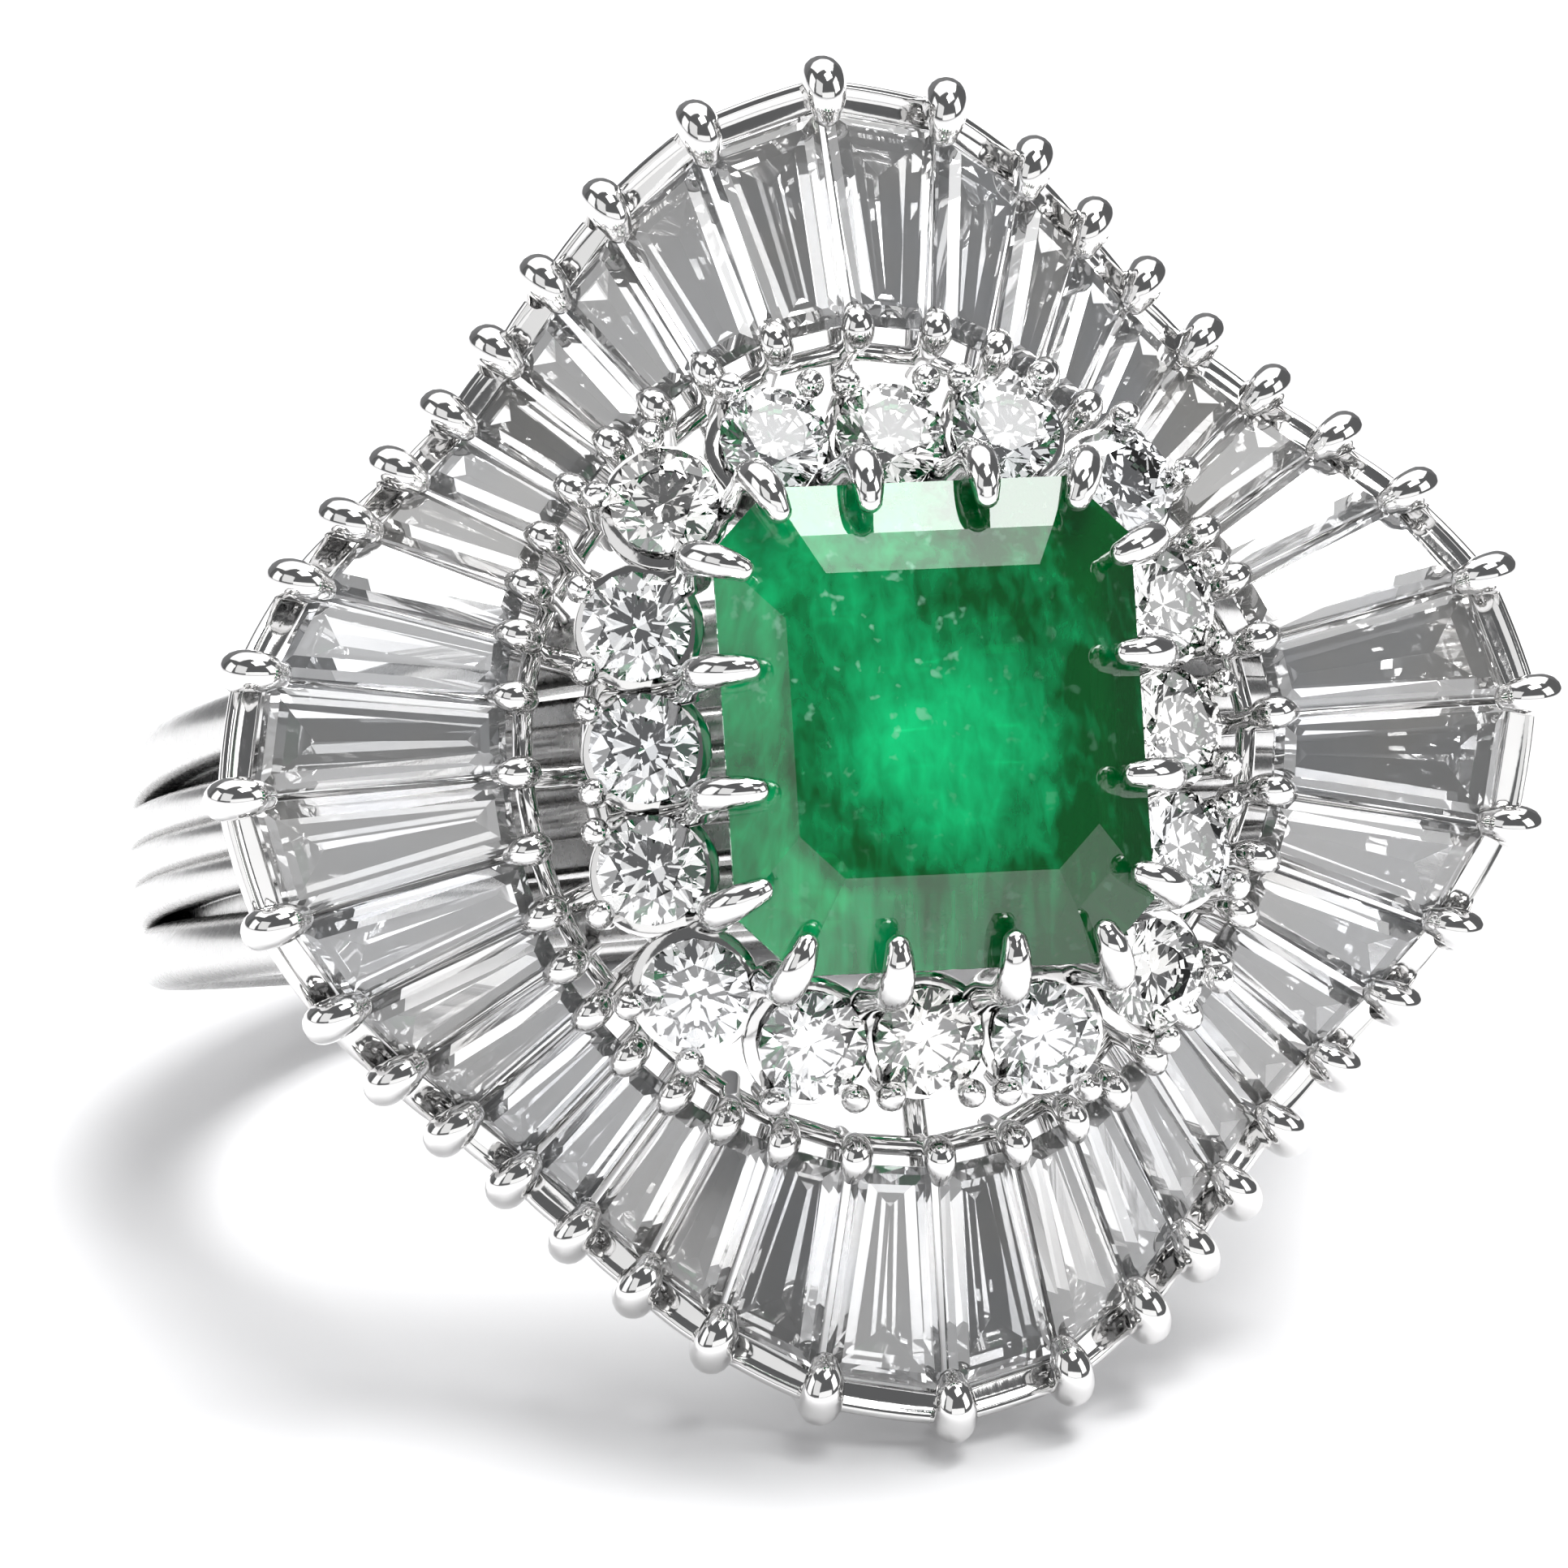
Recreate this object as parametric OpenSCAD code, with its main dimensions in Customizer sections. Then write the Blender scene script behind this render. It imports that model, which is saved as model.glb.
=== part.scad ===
/* [Finger band] */
// Radius of the finger hole
bore_r = 8.5; // [7.5:0.1:9.5]
// Width of the lining that the finger touches
lining_w = 2.9; // [2.6:0.1:3.2]
// Radial thickness of the lining under the ribs
lining_t = 1.1; // [1:0.1:1.2]
// Thickness of each of the three middle ribs
rib_d = 0.68; // [0.6:0.02:0.72]
// Distance from one middle rib to the next
rib_pitch = 0.63; // [0.6:0.01:0.66]
// Thickness of the two outer ribs
side_rib_d = 1.1; // [1:0.05:1.2]
// Distance of an outer rib from the middle, beside the finger
side_rib_offset = 1.6; // [1.5:0.05:1.7]
// Angle at which the outer ribs spread towards the head
side_rib_splay = 3.5; // [3:0.1:4]

/* [Emerald] */
// Width of the emerald across the finger
emerald_w = 7; // [6.8:0.1:7.1]
// Length of the emerald along the finger
emerald_l = 8; // [7.8:0.1:8.1]
// Cut of each of its four corners
emerald_corner = 1; // [0.8:0.1:1.1]
// Height of its girdle above the middle of the finger
emerald_z = 14.2; // [14:0.1:14.6]
// Turn of the emerald and its halo in the lozenge
cluster_turn = -2; // [-4:0.5:0]

/* [Halo] */
// Diameter of each round diamond
round_d = 1.82; // [1.7:0.02:1.84]
// Drop of the rounds' girdles below the emerald's
halo_drop = 1.85; // [1.7:0.05:2]
// Outward tilt of the rounds
halo_tilt = 18; // [14:1:20]

/* [Lozenge of baguettes] */
// Radius of the outer beads at the four points
point_r = 11; // [10.8:0.1:11.4]
// How much nearer the outer beads come between the points
side_dip_r = 1.9; // [1.8:0.05:1.95]
// Drop of the outer beads at the points below the emerald's girdle
point_drop = 3.5; // [3.3:0.1:3.6]
// How much lower the outer beads go between the points
side_dip_z = 2.75; // [2.4:0.05:2.8]
// Radius of the inner beads across the finger
inner_rx = 6.35; // [6.3:0.05:6.5]
// Radius of the inner beads along the finger
inner_ry = 6.85; // [6.8:0.05:7]
// Drop of the inner beads at the points below the emerald's girdle
inner_drop = 2.75; // [2.6:0.05:2.9]
// How much lower the inner beads go between the points
inner_dip_z = 1.45; // [1.2:0.05:1.5]
// Height of a baguette's crown
baguette_crown = 0.25; // [0.2:0.01:0.28]
// Depth of a baguette's keel at its narrow end, as a share of half the width there
baguette_depth = 1.05; // [1:0.05:1.2]

/* [Prongs] */
// Bead diameter of an outer prong
outer_bead_d = 0.8; // [0.74:0.02:0.82]
// Wire diameter of an outer prong
outer_wire_d = 0.5; // [0.46:0.02:0.52]
// Bead diameter of an inner prong
inner_bead_d = 0.6; // [0.54:0.02:0.62]
// Wire diameter of an inner prong
inner_wire_d = 0.4; // [0.36:0.02:0.42]
// Diameter of a claw at its foot
claw_d = 0.54; // [0.5:0.02:0.56]

/* [Hidden] */
BAGUETTES = 40;
ROUNDS = 16;
POINTS = 4;
function baguette_name(i) = str("baguette_", i < 10 ? "0" : "", i);

platinum = [0.82, 0.83, 0.85];
diamond = [0.93, 0.95, 0.97];
green = [0.02, 0.52, 0.3];
// Smoothness of wires and beads, and of the band
wire_fn = 32;
band_fn = 120;
// Space between a stone and its neighbour, and a small overlap that solders two pieces
stone_gap = 0.07;
solder = 0.05;

// Band
lining_r = bore_r + lining_t;
core_r = bore_r + 1.8;
core_w = 2*rib_pitch + 0.34;
side_rib_r = bore_r + 1.55;
side_web_w = side_rib_d - 0.2;
bore_cut = 8;

// Baguettes and their prongs
junction_step = 360/BAGUETTES;
// The junctions crowd between the points: two waves added to even steps
crowd_long = 2.6;
crowd_short = 0.85;
// Share of the side dip in each quarter: upper right, upper left, lower left, lower right
QUARTER_DIP = [0.88, 1.1, 1, 0.84];
outer_seat = 0.44;
inner_seat = 0.34;
outer_lean = 0.12;
inner_lean = 0.08;
outer_clear = 0.43;
inner_clear = 0.28;
outer_wire_l = 1.57;
inner_wire_l = 1.7;
strip_t = 0.3;
strip_h = 0.75;
rail_d = 0.34;
spoke_d = 0.38;
// Depths below the beads at which rails and spokes meet the wires
strip_top = 0.42;
inner_rail_depth = 0.95;
spoke_outer_depth = 1.4;
spoke_inner_depth = 1.52;
rail_trim = 0.08;
// The baguettes' steps: how far in and how high or deep, as shares of the whole
STEP_IN = 0; STEP_DEEP = 1;
baguette_bevel = 0.27;
bevel_share = 0.6;
CROWN_STEPS = [[1, 1], [0.4, 0.55]];
PAVILION_STEPS = [[0.3, 0.43], [0.65, 0.77]];

// Halo
halo_z = emerald_z - halo_drop;
seat_r = 1.08;
seat_hole_r = 0.6;
seat_top = -0.35;
seat_h = 0.55;
post_ring_r = 1.12;
post_angle = 38;
post_d = 0.34;
post_bead_d = 0.48;
post_bead_z = 0.22;

// Claws and the ring of wire that they stand on
gallery_r = 4.6;
gallery_d = 0.76;
gallery_z = 9.75;
link_d = 0.44;
claw_collar_d = 0.72;
claw_tip_d = 0.3;
claw_tip_bead_d = 0.32;
claw_reach = 0.42;
claw_side_gap = 0.3;
claw_notch = 1.24;
seat_rail_d = 0.32;
seat_rail_drop = 1.2;

// Cut of the stones
emerald_table = 0.68;
emerald_depth = 3;
girdle_h = 0.08;

function unit(v) = v/norm(v);
function middle(a, b) = (a + b)/2;
// A value that is 0 at the four points and 1 between them
function wave(a) = (1 - cos(POINTS*a))/2;
// A place given by its angle round the head, its distance from the axis and its height
function around(a, r, z) = [r*cos(a), r*sin(a), z];

// Direction of the junction line that leads outwards, and the normal of the stones there
function junction_a(n) = junction_step*n + crowd_long*sin(POINTS*junction_step*n)
    + crowd_short*sin(2*POINTS*junction_step*n);
function outer_bead_r(a) = point_r - side_dip_r*QUARTER_DIP[floor(a/90) % POINTS]*wave(a);
function outer_bead_z(a) = emerald_z - point_drop - side_dip_z*wave(a);
function inner_bead_r(a) = 1/norm([cos(a)/inner_rx, sin(a)/inner_ry]);
function inner_bead_z(a) = emerald_z - inner_drop - inner_dip_z*wave(a);
function slope(a) = atan2(inner_bead_z(a) - outer_bead_z(a), outer_bead_r(a) - inner_bead_r(a));

// A point beside a bead: out along the junction line, and up along its normal
function by_outer(n, out, up) = let (a = junction_a(n), s = slope(a))
    around(a, outer_bead_r(a) + out*cos(s) + up*sin(s), outer_bead_z(a) - out*sin(s) + up*cos(s));
function by_inner(n, out, up) = let (a = junction_a(n), s = slope(a))
    around(a, inner_bead_r(a) + out*cos(s) + up*sin(s), inner_bead_z(a) - out*sin(s) + up*cos(s));
function outer_wire(n, down) = by_outer(n, outer_lean, -down);
function inner_wire(n, down) = by_inner(n, -inner_lean, -down);

// Halo places from the top round clockwise to the right one, mirrored for the rest
HALO_X = 0; HALO_Y = 1; HALO_FACING = 2;
HALO = [
    [0, 5, 90],
    [1.95, 5, 90],
    [3.85, 4.05, 45],
    [4.45, 2, 0],
    [4.45, 0, 0]
];
function halo_row(i) = let (m = (i + ROUNDS) % (ROUNDS/2)) HALO[m <= ROUNDS/4 ? m : ROUNDS/2 - m];
function side_x(i) = (i + ROUNDS) % ROUNDS <= ROUNDS/2 ? 1 : -1;
function side_y(i) = let (m = (i + ROUNDS) % ROUNDS) m <= ROUNDS/4 || m > 3*ROUNDS/4 ? 1 : -1;
function halo_at(i) = [side_x(i)*halo_row(i)[HALO_X], side_y(i)*halo_row(i)[HALO_Y]];
function halo_out(i) = let (f = halo_row(i)[HALO_FACING]) [side_x(i)*cos(f), side_y(i)*sin(f)];
function halo_azimuth(i) = atan2(halo_out(i).y, halo_out(i).x);

// Claw i stands between round i and the next, and points inwards
function claw_root(i) = middle(halo_at(i), halo_at(i + 1));
function claw_in(i) = -unit(halo_out(i) + halo_out(i + 1));
// How far in from the root the emerald's outline lies
function edge_along(p, d) = max(
    abs(d.x) > 0.01 ? (abs(p.x) - emerald_w/2)/abs(d.x) : 0,
    abs(d.y) > 0.01 ? (abs(p.y) - emerald_l/2)/abs(d.y) : 0,
    (abs(p.x) + abs(p.y) - emerald_w/2 - emerald_l/2 + emerald_corner)/(abs(d.x) + abs(d.y)));
function claw_edge(i) = edge_along(claw_root(i), claw_in(i));
function notch_in(i) = let (half = norm(halo_at(i + 1) - halo_at(i))/2)
    sqrt(claw_notch*claw_notch - half*half);
function claw_at(i, inward, z) = let (p = claw_root(i) + inward*claw_in(i)) [p.x, p.y, z];
function claw_foot(i) = let (a = atan2(claw_root(i).y, claw_root(i).x)) around(a, gallery_r, gallery_z);
function claw_collar(i) = claw_at(i, notch_in(i), halo_z + 0.5);
function claw_shoulder(i) = claw_at(i, claw_edge(i) - claw_side_gap - claw_d*0.1, emerald_z + 0.1);
function claw_tip(i) = claw_at(i, claw_edge(i) + claw_reach, emerald_z + 0.58);
// The seat rail's corner, on the line from the collar to the shoulder
function seat_corner(i) = let (a = claw_collar(i), b = claw_shoulder(i))
    a + (b - a)*(emerald_z - seat_rail_drop - a.z)/(b.z - a.z);

// The ring lies on the foot of the lowest outer wire and on the back of the lower outer rib.
// The rib is round there, so its centre and radius count, and the foot is a plain point.
lowest_foot = by_outer(BAGUETTES*3/4, outer_lean + outer_wire_d/2, -outer_wire_l);
lowest_rib = [0, side_rib_r*sin(side_rib_splay) - side_rib_offset, -side_rib_r*cos(side_rib_splay)];
between = lowest_foot - lowest_rib;
rest_tilt = atan2(between.z, between.y) - acos(-side_rib_d/2/norm(between));
rest_height = -lowest_foot.y*cos(rest_tilt) - lowest_foot.z*sin(rest_tilt);
// Its foremost point is a claw's tip and its hindmost one the upper outer rib
foremost_claw = claw_tip(ROUNDS/2 - 1);
foremost_y = foremost_claw.y*cos(cluster_turn) + foremost_claw.x*sin(cluster_turn);
front_reach = foremost_claw.z*cos(rest_tilt) - foremost_y*sin(rest_tilt) + claw_tip_bead_d/2;
back_reach = side_rib_offset*sin(rest_tilt) + side_rib_r*cos(rest_tilt + side_rib_splay)
    + side_rib_d/2;

// Lays the ring on its side, with the ground at height 0 and the origin under its middle
module lying() {
    translate([0, (front_reach - back_reach)/2, rest_height]) rotate([90 - rest_tilt, 0, 0]) children();
}

// Turns a shape about the finger's axis: the ring is drawn with the finger along Y
module along_finger() {
    rotate([90, 0, 0]) children();
}

module rod(p, q, d1, d2) {
    v = q - p;
    translate(p) rotate([0, acos(v.z/norm(v)), atan2(v.y, v.x)])
        cylinder(h = norm(v), d1 = d1, d2 = d2, $fn = wire_fn);
}

// A straight wire whose ends stop a little short of the two places that it joins
module link(p, q, d, trim = 0) {
    v = unit(q - p);
    rod(p + trim*v, q - trim*v, d, d);
}

module bead(p, d) {
    translate(p) sphere(d = d, $fn = wire_fn);
}

module hoop(r, d) {
    rotate_extrude($fn = band_fn) translate([r, 0]) circle(d = d, $fn = wire_fn);
}

module sleeve(r, t, w) {
    rotate_extrude($fn = band_fn) translate([r, -w/2]) square([t, w]);
}

// Five ribs on a lining: three side by side, and two that spread towards the head
module band() {
    along_finger() {
        sleeve(bore_r - solder, lining_t + solder, lining_w);
        sleeve(lining_r - solder, core_r - lining_r + solder, core_w);
        for (k = [-1:1]) translate([0, 0, k*rib_pitch]) hoop(core_r, rib_d);
    }
    for (side = [-1, 1]) translate([0, side*side_rib_offset, 0])
        rotate([-side*side_rib_splay, 0, 0]) along_finger() {
            hoop(side_rib_r, side_rib_d);
            sleeve(bore_r - 0.4, side_rib_r - bore_r + 0.4, side_web_w);
        }
}

// One strip of the outer rail, between two outer wires
module rail_strip(n) {
    p = outer_wire(n, strip_top + strip_h/2);
    q = outer_wire(n + 1, strip_top + strip_h/2);
    v = q - p;
    lean = slope(junction_a(n + 0.5));
    translate(middle(p, q)) rotate([0, 0, atan2(v.y, v.x)]) rotate([0, -asin(v.z/norm(v)), 0])
        rotate([-lean, 0, 0]) cube([norm(v) - 2*rail_trim, strip_t, strip_h], center = true);
}

// Wires, beads, rails and spokes that hold the baguettes
module baguette_cage() {
    for (n = [0:BAGUETTES - 1]) {
        rod(outer_wire(n, outer_wire_l), outer_wire(n, 0), outer_wire_d, outer_wire_d);
        bead(by_outer(n, 0, 0), outer_bead_d);
        rod(inner_wire(n, inner_wire_l), inner_wire(n, 0), inner_wire_d, inner_wire_d);
        bead(by_inner(n, 0, 0), inner_bead_d);
        rail_strip(n);
        link(inner_wire(n, inner_rail_depth), inner_wire(n + 1, inner_rail_depth), rail_d, rail_trim);
        link(inner_wire(n, spoke_inner_depth), outer_wire(n, spoke_outer_depth), spoke_d, rail_trim);
    }
    for (n = [0:2:BAGUETTES - 1]) {
        foot = inner_wire(n, spoke_inner_depth);
        link(around(atan2(foot.y, foot.x), gallery_r, gallery_z), foot, link_d, rail_trim/2);
    }
}

// Places a thing at round i, leaning outwards with it
module at_round(i) {
    translate([halo_at(i).x, halo_at(i).y, halo_z]) rotate([0, halo_tilt, halo_azimuth(i)]) children();
}

module round_seat() {
    translate([0, 0, seat_top - seat_h]) cylinder(h = seat_h, r = seat_r, $fn = wire_fn);
    for (side = [-1, 1]) {
        foot = around(side*post_angle, post_ring_r, seat_top - seat_h + solder);
        top = around(side*post_angle, post_ring_r, post_bead_z);
        rod(foot, top, post_d, post_d);
        bead(top, post_bead_d);
    }
}

module claw(i) {
    rod(claw_foot(i), claw_collar(i), claw_d, claw_d);
    bead(claw_collar(i), claw_collar_d);
    rod(claw_collar(i), claw_shoulder(i), claw_d, claw_d*0.85);
    bead(claw_shoulder(i), claw_d);
    rod(claw_shoulder(i), claw_tip(i), claw_d*0.9, claw_tip_d);
    bead(claw_tip(i), claw_tip_bead_d);
}

// Seats of the rounds and the sixteen claws, all soldered to the gallery wire
module cluster_setting() {
    rotate([0, 0, cluster_turn]) {
        difference() {
            for (i = [0:ROUNDS - 1]) at_round(i) round_seat();
            for (i = [0:ROUNDS - 1]) at_round(i) translate([0, 0, seat_top - 2*seat_h])
                cylinder(h = 3*seat_h, r = seat_hole_r, $fn = wire_fn);
        }
        for (i = [0:ROUNDS - 1]) {
            claw(i);
            link(seat_corner(i), seat_corner(i + 1), seat_rail_d, rail_trim);
        }
    }
    translate([0, 0, gallery_z]) hoop(gallery_r, gallery_d);
}

module mounting() {
    color(platinum) lying() difference() {
        union() {
            band();
            baguette_cage();
            cluster_setting();
        }
        translate([0, bore_cut/2, 0]) along_finger() cylinder(h = bore_cut, r = bore_r, $fn = band_fn);
    }
}

// A cut stone built of rings of corners from the table down, each ring with as many corners.
// Its last ring is closed by one facet, or by facets that rise to a keel of two points.
module cut_stone(rings, keel = []) {
    n = len(rings[0]);
    corners = concat([for (ring = rings) each ring], keel);
    last = (len(rings) - 1)*n;
    function keel_end(i) = last + n + (i % n < n/2 ? 0 : 1);
    polyhedron(points = corners, faces = concat(
        [[for (i = [n - 1:-1:0]) i]],
        [for (k = [0:len(rings) - 2], i = [0:n - 1])
            [k*n + i, k*n + (i + 1) % n, (k + 1)*n + (i + 1) % n, (k + 1)*n + i]],
        keel == [] ? [[for (i = [0:n - 1]) last + i]]
            : [for (i = [0:n - 1]) let (a = keel_end(i), b = keel_end(i + 1))
                concat([last + i, last + (i + 1) % n, b], a == b ? [] : [a])]));
}

// An oblong with cut corners at one height
function octagon(x, y, c, z) = [[x, y - c, z], [x - c, y, z], [c - x, y, z], [-x, y - c, z],
    [-x, c - y, z], [c - x, -y, z], [x - c, -y, z], [x, c - y, z]];

// Steps of the emerald: how far in and how high each one lies
STEP_X = 0; STEP_Y = 1; STEP_Z = 2;
EMERALD_STEPS = [
    [1.0, 1.5, emerald_table],
    [0.55, 0.85, 0.42],
    [0, 0, 0],
    [0, 0, -girdle_h],
    [0.75, 0.75, -1.05],
    [1.75, 1.75, -2.15],
    [3.2, 3.2, -emerald_depth]
];

module emerald() {
    hx = emerald_w/2;
    hy = emerald_l/2;
    color(green) lying() rotate([0, 0, cluster_turn]) translate([0, 0, emerald_z])
        cut_stone([for (s = EMERALD_STEPS) octagon(hx - s[STEP_X], hy - s[STEP_Y],
            emerald_corner*(hx - s[STEP_X])/hx, s[STEP_Z])]);
}

// Round brilliant: an eight-sided table, and crown and pavilion facets that meet in exact edges
CROWN_ANGLE = 34.5;
PAVILION_ANGLE = 40.75;
TABLE_SHARE = 0.57;
STAR_SHARE = 0.79;
LOWER_SHARE = 0.22;
MAINS = 8;
module brilliant(r) {
    half = 180/MAINS;
    top_z = (1 - TABLE_SHARE)*tan(CROWN_ANGLE);
    star_z = (1 - STAR_SHARE*cos(half))*tan(CROWN_ANGLE);
    lower_z = -(1 - LOWER_SHARE*cos(half))*tan(PAVILION_ANGLE);
    culet_z = -tan(PAVILION_ANGLE);
    edge = girdle_h/2/r;
    even = [for (k = [0:MAINS - 1]) 2*half*k];
    both = [for (k = [0:2*MAINS - 1]) half*k];
    corners = concat(
        [for (a = even) around(a, TABLE_SHARE, top_z + edge)],
        [for (a = even) around(a + half, STAR_SHARE, star_z + edge)],
        [for (a = both) around(a, 1, edge)],
        [for (a = both) around(a, 1, -edge)],
        [for (a = even) around(a + half, LOWER_SHARE, lower_z - edge)],
        [[0, 0, culet_z - edge]]);
    star = MAINS;
    upper = 2*MAINS;
    lower = 4*MAINS;
    tip = 6*MAINS;
    culet = 7*MAINS;
    scale(r) polyhedron(points = corners, faces = concat(
        [[for (k = [MAINS - 1:-1:0]) k]],
        [for (k = [0:MAINS - 1]) let (j = (k + 1) % MAINS, u = 2*k, w = (2*k + 2) % (2*MAINS),
            back = (k + MAINS - 1) % MAINS) each [
            [k, j, star + k],
            [k, star + k, upper + u, star + back],
            [star + k, upper + u + 1, upper + u],
            [star + k, upper + w, upper + u + 1],
            [upper + u, upper + u + 1, lower + u + 1, lower + u],
            [upper + u + 1, upper + w, lower + w, lower + u + 1],
            [lower + u, lower + u + 1, tip + k],
            [lower + u + 1, lower + w, tip + k],
            [culet, tip + back, lower + u, tip + k]
        ]]));
}

module round_diamonds() {
    color(diamond) lying() rotate([0, 0, cluster_turn])
        for (i = [0:ROUNDS - 1]) at_round(i) brilliant(round_d/2);
}

// One tapered baguette between junctions i - 1 and i, on the plane of its four prongs
module baguette(i) {
    field = [by_outer(i - 1, outer_lean, -outer_seat), by_outer(i, outer_lean, -outer_seat),
        by_inner(i, -inner_lean, -inner_seat), by_inner(i - 1, -inner_lean, -inner_seat)];
    start = middle(field[2], field[3]);
    u = unit(middle(field[0], field[1]) - start);
    across = field[1] - field[0] + field[2] - field[3];
    w = unit(across - (across*u)*u);
    // The four prongs on that plane, and how the stone's ends and sides slant between them
    q = [for (p = field) [(p - start)*u, (p - start)*w]];
    far_slant = (q[1].x - q[0].x)/(q[1].y - q[0].y);
    near_slant = (q[2].x - q[3].x)/(q[2].y - q[3].y);
    side_slant = [for (k = [0, 1]) (q[k].y - q[3 - k].y)/(q[k].x - q[3 - k].x)];
    // The outline moved inwards by a margin: each corner is where an end and a side meet
    function corner(end, k, inset) = let (
            slant = end == 0 ? far_slant : near_slant,
            x0 = end == 0 ? q[0].x - outer_clear - inset : q[3].x + inner_clear + inset,
            y0 = q[k].y + (k == 0 ? 1 : -1)*(stone_gap + inset) - side_slant[k]*q[k].x,
            x = (x0 + slant*(y0 - q[end == 0 ? 0 : 3].y))/(1 - slant*side_slant[k]))
        [x, y0 + side_slant[k]*x];
    function place(end, k, inset, z) = let (at = corner(end, k, inset))
        start + at.x*u + at.y*w + z*cross(u, w);
    function ring(inset, z) = [for (c = [[0, 0], [0, 1], [1, 1], [1, 0]]) place(c[0], c[1], inset, z)];
    // How far in from the edges the two sides and an end meet
    function width(end, inset) = corner(end, 1, inset).y - corner(end, 0, inset).y;
    function ridge(end) = width(end, 0)/(width(end, 0) - width(end, 1));
    half = ridge(1);
    bevel = min(baguette_bevel, bevel_share*half);
    lowest = PAVILION_STEPS[len(PAVILION_STEPS) - 1];
    fall = baguette_depth*(1 - lowest[STEP_DEEP])/(1 - lowest[STEP_IN]);
    function keel_z(end) = -girdle_h - half*baguette_depth*lowest[STEP_DEEP]
        - fall*(ridge(end) - half*lowest[STEP_IN]);
    color(diamond) lying() cut_stone(concat(
        [for (s = CROWN_STEPS) ring(bevel*s[STEP_IN], baguette_crown*s[STEP_DEEP])],
        [ring(0, 0), ring(0, -girdle_h)],
        [for (s = PAVILION_STEPS)
            ring(half*s[STEP_IN], -girdle_h - half*baguette_depth*s[STEP_DEEP])]
    ), [for (end = [0, 1]) place(end, 0, ridge(end), keel_z(end))]);
}

mounting();
emerald();
round_diamonds();
for (i = [1:BAGUETTES]) baguette(i);
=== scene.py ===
"""Looks of a ballerina ring: platinum wires, beads and band worked out with numpy, and the
polish of its emerald and diamonds. Drawn in millimetres with the finger along Y and the
stones facing +Z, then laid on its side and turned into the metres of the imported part."""

import bpy
import numpy as np
from mathutils import Matrix, Vector


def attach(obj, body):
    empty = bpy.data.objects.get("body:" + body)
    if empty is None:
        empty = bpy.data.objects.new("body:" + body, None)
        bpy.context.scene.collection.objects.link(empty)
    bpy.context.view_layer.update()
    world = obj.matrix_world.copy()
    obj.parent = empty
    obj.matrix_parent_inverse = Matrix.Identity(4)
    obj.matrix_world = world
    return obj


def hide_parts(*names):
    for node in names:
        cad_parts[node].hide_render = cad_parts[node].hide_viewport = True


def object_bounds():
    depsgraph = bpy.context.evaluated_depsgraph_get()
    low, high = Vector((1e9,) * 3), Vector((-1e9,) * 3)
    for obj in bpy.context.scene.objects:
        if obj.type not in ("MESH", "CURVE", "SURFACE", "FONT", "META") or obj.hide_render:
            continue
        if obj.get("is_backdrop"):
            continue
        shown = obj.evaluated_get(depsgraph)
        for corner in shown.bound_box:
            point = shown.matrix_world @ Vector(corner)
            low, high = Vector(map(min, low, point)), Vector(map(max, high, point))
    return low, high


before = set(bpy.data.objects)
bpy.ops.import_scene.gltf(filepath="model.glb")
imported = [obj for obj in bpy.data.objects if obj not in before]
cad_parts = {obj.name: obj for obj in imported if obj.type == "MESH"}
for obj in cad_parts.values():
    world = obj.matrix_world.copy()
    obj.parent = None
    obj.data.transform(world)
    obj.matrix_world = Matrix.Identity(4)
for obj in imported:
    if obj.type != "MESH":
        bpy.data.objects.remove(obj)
cad_box = [list(corner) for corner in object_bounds()]
MM = 0.001

# Sizes, in mm and degrees

# The way the ring lies: angle of the finger's axis, height of its middle, place along Y
REST_TILT, REST_HEIGHT, REST_SHIFT = 26.3831, 5.89132, 2.51539
# The band: the finger's hole, the lining, the core with three ribs, and the two side ribs
BORE_R = 8.5
LINING_R, LINING_W = 9.6, 2.9
CORE_R, CORE_W, RIB_R, RIB_PITCH = 10.3, 1.6, 0.34, 0.63
SIDE_RIB_CENTRE, SIDE_RIB_R, SIDE_WEB_W = 10.05, 0.55, 0.9
SIDE_RIB_OFFSET, SIDE_RIB_SPLAY = 1.6, 3.5
# The emerald: height of its girdle, half its width and length, its cut corners, its small turn
GIRDLE_Z = 14.2
EMERALD_HALF = np.array([3.5, 4.0])
EMERALD_CORNER = 1.0
CLUSTER_TURN = -2.0
# Places between baguettes, and the halo's stones with their height and outward lean
JUNCTIONS, ROUNDS = 40, 16
HALO_Z, HALO_TILT = 12.35, 18.0
# The gallery's hoop: its radius and height, and its wire's radius
GALLERY_R, GALLERY_Z, GALLERY_WIRE = 4.6, 9.75, 0.38
# The lozenge: radius of its points and of the ellipse inside it; how far below the girdle the
# prongs' heads stand at the points, and how much lower they are between the points
POINT_R, OUTER_DROP, OUTER_SAG = 11.0, 3.5, 2.75
INNER_HALF_X, INNER_HALF_Y, INNER_DROP, INNER_SAG = 6.35, 6.85, 2.75, 1.45
# How much nearer the edge comes between the points, in each quarter from the upper right
QUARTER_DIP = 1.9*np.array([0.88, 1.1, 1.0, 0.84])
# Heights in degrees of the two waves that crowd the junctions
CROWDING, CROWDING_TWICE = 2.6, 0.85
# Prong wires: how far out of the heads' places they stand, and their depths below the heads
# where rails and spokes meet them
OUTER_WIRE_OUT, INNER_WIRE_OUT = 0.12, -0.08
RAIL_DEPTH, SPOKE_INNER_DEPTH, SPOKE_OUTER_DEPTH = 0.95, 1.52, 1.40
RAIL_R, SPOKE_R, LINK_R = 0.17, 0.19, 0.22
# Share of a half-round end's quarter circle that its last ring reaches
LAST_RING = 0.985


# The lozenge's curves
def sin_deg(a):
    return np.sin(np.radians(a))


def cos_deg(a):
    return np.cos(np.radians(a))


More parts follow.
